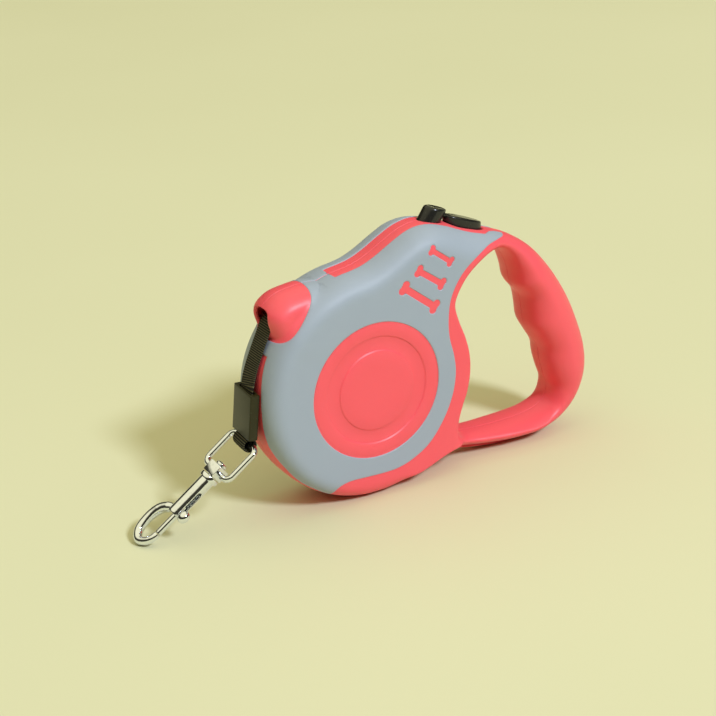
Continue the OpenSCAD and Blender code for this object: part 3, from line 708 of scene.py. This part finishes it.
SKIN = [[-23, -57], [-22.4, -47], [-22, -41.5], [-19.8, -38], [-14.5, -36.7], [-6.5, -37.1], [1.5, -37.5],
        [8.5, -37.2], [16, -34.9], [24, -30], [31.2, -21], [35.7, -11.5], [37.6, -2], [37, 6], [35.2, 14],
        [34.9, 22], [36.4, 31], [41, 39], [47.5, 44.6], [56, 48], [63.5, 48.5], [69.3, 48.3], [71.6, 49.8],
        [71.2, 52]]
skin_line = np.vstack([through(SKIN, 6), [[66, 56], [62, 75], [-65, 75], [-65, -57]]])
HOOD_EDGE = [[-23.4, 58], [-22.9, 50], [-23, 46.2], [-25, 42], [-28.6, 37.6], [-32.6, 33.2], [-36.4, 29.8],
             [-40.4, 27.8], [-47, 26.7]]
hood_edge = np.vstack([through(HOOD_EDGE, 8), [[-65, 26.7], [-65, 58]]])
BONES = [[[28.2, 53.4], [36.6, 46.8], 0.95], [[21.6, 46.2], [32.2, 38.3], 1.15], [[14.6, 40.6], [28.4, 29.4], 1.35]]
STRIP = 5.0
FRONT_STRIP = [[-37, -33, -25, -20, -15, -7, 0, 8, 15, 20.5], [11.6, 10.5, 10.4, 9.2, 8, 8.1, 8.5, 8.1, 7, 6.4]]


def beyond_bone(x, z, bone):
    """Distance outside a bone: a straight shank and two round knuckles on each end."""
    a, b, r = np.array(bone[0]), np.array(bone[1]), bone[2]
    e = (b - a) / np.linalg.norm(b - a)
    s = np.array([-e[1], e[0]])
    u, v = (x - a[0]) * e[0] + (z - a[1]) * e[1], (x - a[0]) * s[0] + (z - a[1]) * s[1]
    length = np.linalg.norm(b - a)
    shank = np.hypot(u - np.clip(u, 0, length), v) - r
    knuckles = np.minimum(np.hypot(u, np.abs(v) - 1.1 * r), np.hypot(u - length, np.abs(v) - 1.1 * r)) - 1.15 * r
    return np.minimum(shank, knuckles)


def on_skin(p):
    """How far points of the casing are inside the overmould's edge."""
    x, y, z = p[:, 0], np.abs(p[:, 1]), p[:, 2]
    strip = STRIP + np.interp(x, [26, 40, 52, 59, 62.5, 66, 72], [0, 1.5, 2.6, 2.4, -0.2, -1.2, -1.4])
    top = np.maximum(np.maximum(y - strip, -10.3 - x), -z)
    front = np.maximum(y - np.interp(z, *FRONT_STRIP), z - 22.5)
    parts = [np.hypot(x, z) - WINDOW_R, depth(x, z, skin_line), -depth(x, z, hood_edge), top, front, y - 0.14]
    return np.minimum.reduce(parts + [beyond_bone(x, z, bone) for bone in BONES])


normals = np.zeros_like(shell_points)
face_n = np.cross(shell_points[shell_tris[:, 1]] - shell_points[shell_tris[:, 0]],
                  shell_points[shell_tris[:, 2]] - shell_points[shell_tris[:, 0]])
for c in range(3):
    np.add.at(normals, shell_tris[:, c], face_n)
lip_rows = (np.arange(len(shell_points)) % n_rows == 0) | (np.arange(len(shell_points)) % n_rows == n_rows - 1)
seam_rows = (np.arange(len(shell_points)) % n_rows == 1) | (np.arange(len(shell_points)) % n_rows == n_rows - 2)
normals[seam_rows | lip_rows, 1] = 0
normals = unit(normals + 1e-12)
keep = (~lip_rows[shell_tris]).all(1) & (shell_points[shell_tris][:, :, 0].min(1) < 75)
skin_points, skin_tris = np.hstack([shell_points, normals]), shell_tris[keep]
EDGE_R, SUNK = 0.55, 0.25    # the rubber's rounded edge, and how deep its foot lies in the casing
for level in (EDGE_R, 0.3, 0.12, 0.0):
    inside_edge = on_skin(skin_points[:, :3]) - level
    skin_points, skin_tris, _ = cut_at(skin_points, skin_tris, inside_edge, keep_below=level > 0)
inset = np.clip(on_skin(skin_points[:, :3]), 0, EDGE_R)
lift = -SUNK + EDGE_R * np.sqrt(1 - (1 - inset / EDGE_R) ** 2)
skin_points = skin_points[:, :3] + unit(skin_points[:, 3:]) * lift[:, None]
rubber = soft_grey()
for side, hand in ((-1, "left"), (1, "right")):
    points, tris = (skin_points, skin_tris) if side < 0 else (skin_points * [1, -1, 1], skin_tris[:, ::-1])
    skin = moulded(f"overmould_{hand}", (placed(points), tris.tolist()), rubber, "housing",
                   [f"{hand}_skin"], 50, outwards=False)
    walled(skin, 0.7)


# ---- Lock and brake ----
# Two glossy black controls on top: an oval lock post that leans back, and behind it the brake's thumb pad, a leaf
# with a dished top whose arm reaches down to the spool's teeth.
gloss = glossy_black("control_black", paint(30, 30, 27), 0.16)
post_r = [[0, -11.2], [2.3, -11.2], [2.3, -10], [1.5, -10], [1.5, -3], [4.15, -3], [4.2, 4.8], [4.12, 5.35],
          [3.88, 5.78], [3.5, 5.98], [3.2, 6.0], [2.9, 5.92], [1.7, 5.8], [0, 5.75]]
post = turned(post_r, 56)
post_points = post[0] * [1.14, 1.0, 1.0]
post_points[:, 2] += np.where(post_points[:, 2] > 0, 0.3 * (post_points[:, 0] + 4.5), 0)
cl, sl = math.cos(LEAN), math.sin(LEAN)
post_points = np.column_stack([post_points[:, 0] * cl + post_points[:, 2] * sl + LOCK[0], post_points[:, 1],
                               -post_points[:, 0] * sl + post_points[:, 2] * cl + LOCK[1]])
moulded("lock_post", (placed(post_points), post[1]), gloss, "lock", ["lock_button"], 34)

pad_x = np.linspace(PAD_X[0], PAD_X[1], 60)
pad_top = np.interp(pad_x, *np.array([[43.8, 60.3], [44.8, 60.9], [46.6, 60.6], [50, 59.5], [54, 57.9], [58, 56.3],
                                      [60.6, 55.1], [61.4, 54.5]]).T)
pad_low = np.interp(pad_x, [43.8, 45.4, 58, 61.4], [58.6, 55.4, 51.4, 52.0])
section = np.linspace(0, 2 * np.pi, 40, endpoint=False) + 0.02
su = np.sign(np.cos(section)) * np.abs(np.cos(section)) ** 0.5
sv = np.sign(np.sin(section)) * np.abs(np.sin(section)) ** 0.28
wide = np.maximum(pad_half(pad_x), 0.35)[:, None]
dish = np.where(sv > 0, 0.3 * (1 - su**2), 0)[None] * smoothly(wide, 0.5, 3.5)
middle, tall = ((pad_top + pad_low) / 2)[:, None], ((pad_top - pad_low) / 2)[:, None]
pad_rings = np.stack(np.broadcast_arrays(pad_x[:, None], wide * su, middle + tall * sv - dish), -1)
ARM = [[56, 52], [46, 54], [43.5, 47.5], [36, 45.6], [28, 45.2], [23, 42.8], [22.6, 38.4],
       [25.6, 37.8], [30, 41], [40, 41.8], [48, 42.6], [54, 44.6], [58, 47.2]]
arm_line = np.array(ARM, float)
arm_sides = [np.column_stack([arm_line[:, 0], np.full(len(arm_line), y), arm_line[:, 1]]) for y in (-3.5, 3.5)]
lever = joined(loft(pad_rings), loft(np.array(arm_sides)))
moulded("brake_pad", (placed(lever[0]), lever[1]), gloss, "brake", ["brake_lever"], 40)


# ---- Inside ----
# White acetal spool, its winding and spring, the steel axle, pins and screws: the CAD parts, in the finish of each
# material. Under the lock, under the lever and in the snap sits a coil of steel wire.
def acetal():
    """Milky machine plastic with fine turning marks."""
    f = Finish("white_acetal", Subsurface_Weight=0.1, Subsurface_Scale=0.001)
    cloud = f.noise(60.0, 3.0)
    f.set(Base_Color=f.mix(cloud, paint(222, 220, 212), paint(234, 232, 226)), Roughness=0.4 + cloud * 0.15,
          Normal=f.bump(f.noise(1200.0), 0.00002))
    return f


def steel():
    """Drawn steel: fine grey streaks and a soft shine."""
    f = Finish("drawn_steel", Metallic=1.0)
    streak = f.noise(800.0, 4.0)
    f.set(Base_Color=f.mix(streak, paint(150, 150, 152), paint(186, 186, 186)), Roughness=0.24 + streak * 0.16,
          Normal=f.bump(streak, 0.00002))
    return f


def wound_tape():
    """The wound tape's edges: dark, with a fine line for each turn round the axle."""
    f = Finish("wound_tape", Specular_IOR_Level=0.3)
    place = f.node("ShaderNodeMapping", None, {"Vector": f.place(), "Location": (-AXLE[0] / 1000, 0, -AXLE[2] / 1000),
                                               "Scale": (1, 0, 1)})
    out = f.node("ShaderNodeVectorMath", {"operation": "LENGTH"}, {0: place}, output="Value")
    line = out.maths("SINE", out * (2 * math.pi / 0.0008)) * 0.5 + 0.5
    f.set(Base_Color=f.mix(line, paint(24, 23, 18), paint(62, 60, 46)), Roughness=0.8 - line * 0.15,
          Normal=f.bump(line, 0.0001))
    return f


steel_finish = steel()
for finish, names in ((acetal(), ["spool", "spool_cheek", "spring_cover", "thrust_washers"]),
                      (steel_finish, ["shell_screws", "axle", "spring_arbor", "guide_pin", "lever_pin",
                                      "power_spring"]),
                      (wound_tape(), ["tape_winding"])):
    for name in names:
        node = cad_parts[name]
        node.data.materials.clear()
        node.data.materials.append(finish.material)

# Each coil is the CAD part's spring, copied in drawn steel and carried with the body it sits on.
COILS = (("lock", "housing", "lock_press", (sl, 0.0, cl), 2.5),
         ("brake", "housing", "brake_press", (0.0, 0.0, 1.0), 1.4),
         ("snap", "bolt", "bolt_slide", (0.80681, -0.0437, 0.5892), 7.0))
for name, body, joint, axis, travel in COILS:
    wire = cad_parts[name + "_spring"].data.copy()
    wire.materials.clear()
    wire.materials.append(steel_finish.material)
    coil = bpy.data.objects.new(name + "_coil", wire)
    bpy.context.scene.collection.objects.link(coil)
    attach(coil, body)
    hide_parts(name + "_spring")
    spots = np.array([v.co for v in wire.vertices])
    along = spots @ np.array(axis)
    spots[along.argmin()].tolist()
    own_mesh(coil)


# ---- Studio ----
# A seamless pale floor under one soft lamp, high on the camera's right, and an even room.
def floor_paper():
    """Pale green-yellow paper, with the faintest unevenness."""
    f = Finish("floor_paper", Specular_IOR_Level=0.1)
    cloud = f.noise(3.0, 2.0)
    f.set(Base_Color=f.mix(cloud, paint(215, 214, 176), paint(221, 220, 184)), Roughness=0.85 + f.noise(300.0) * 0.1)
    return f


floor_mesh = bpy.data.meshes.new("floor")
floor_mesh.from_pydata([(-6, -6, 0), (6, -6, 0), (6, 6, 0), (-6, 6, 0)], [], [(0, 1, 2, 3)])
floor_mesh.materials.append(floor_paper().material)
floor = bpy.data.objects.new("floor", floor_mesh)
bpy.context.scene.collection.objects.link(floor)

to_lamp = unit(np.array([0.180, -0.734, 0.655]))
lamp = bpy.data.lights.new("softbox", "AREA")
lamp.shape, lamp.size, lamp.energy, lamp.color = "DISK", 1.1, 345.0, (0.78, 0.84, 1.0)
softbox = bpy.data.objects.new("softbox", lamp)
softbox.location = (to_lamp * 6.5 + [0, 0, 0.05]).tolist()
softbox.rotation_mode = "QUATERNION"
sideways = unit(np.cross([0, 0, 1.0], to_lamp))
faces_leash = np.column_stack([sideways, unit(np.cross(to_lamp, sideways)), to_lamp])
softbox.rotation_quaternion = Matrix(faces_leash.tolist()).to_quaternion()
bpy.context.scene.collection.objects.link(softbox)

world = bpy.data.worlds.new("room")
bpy.context.scene.world = world
world.use_nodes = True
room = world.node_tree
sky = room.nodes.new("ShaderNodeTexCoord")
height = room.nodes.new("ShaderNodeSeparateXYZ")
ramp = room.nodes.new("ShaderNodeValToRGB")
ROOM = [(0.0, (0.04, 0.037, 0.025, 1)), (0.52, (0.05, 0.046, 0.03, 1)), (0.64, (0.94, 0.89, 0.58, 1)),
        (1.0, (1.02, 0.97, 0.64, 1))]
for n, (at, colour) in enumerate(ROOM):
    stop = ramp.color_ramp.elements[n] if n < 2 else ramp.color_ramp.elements.new(at)
    stop.position, stop.color = at, colour
room.links.new(sky.outputs["Generated"], height.inputs[0])
room.links.new(height.outputs[2], ramp.inputs[0])
room.links.new(ramp.outputs[0], room.nodes["Background"].inputs["Color"])
room.nodes["Background"].inputs["Strength"].default_value = 1.0

bpy.context.scene.view_settings.view_transform = "Standard"
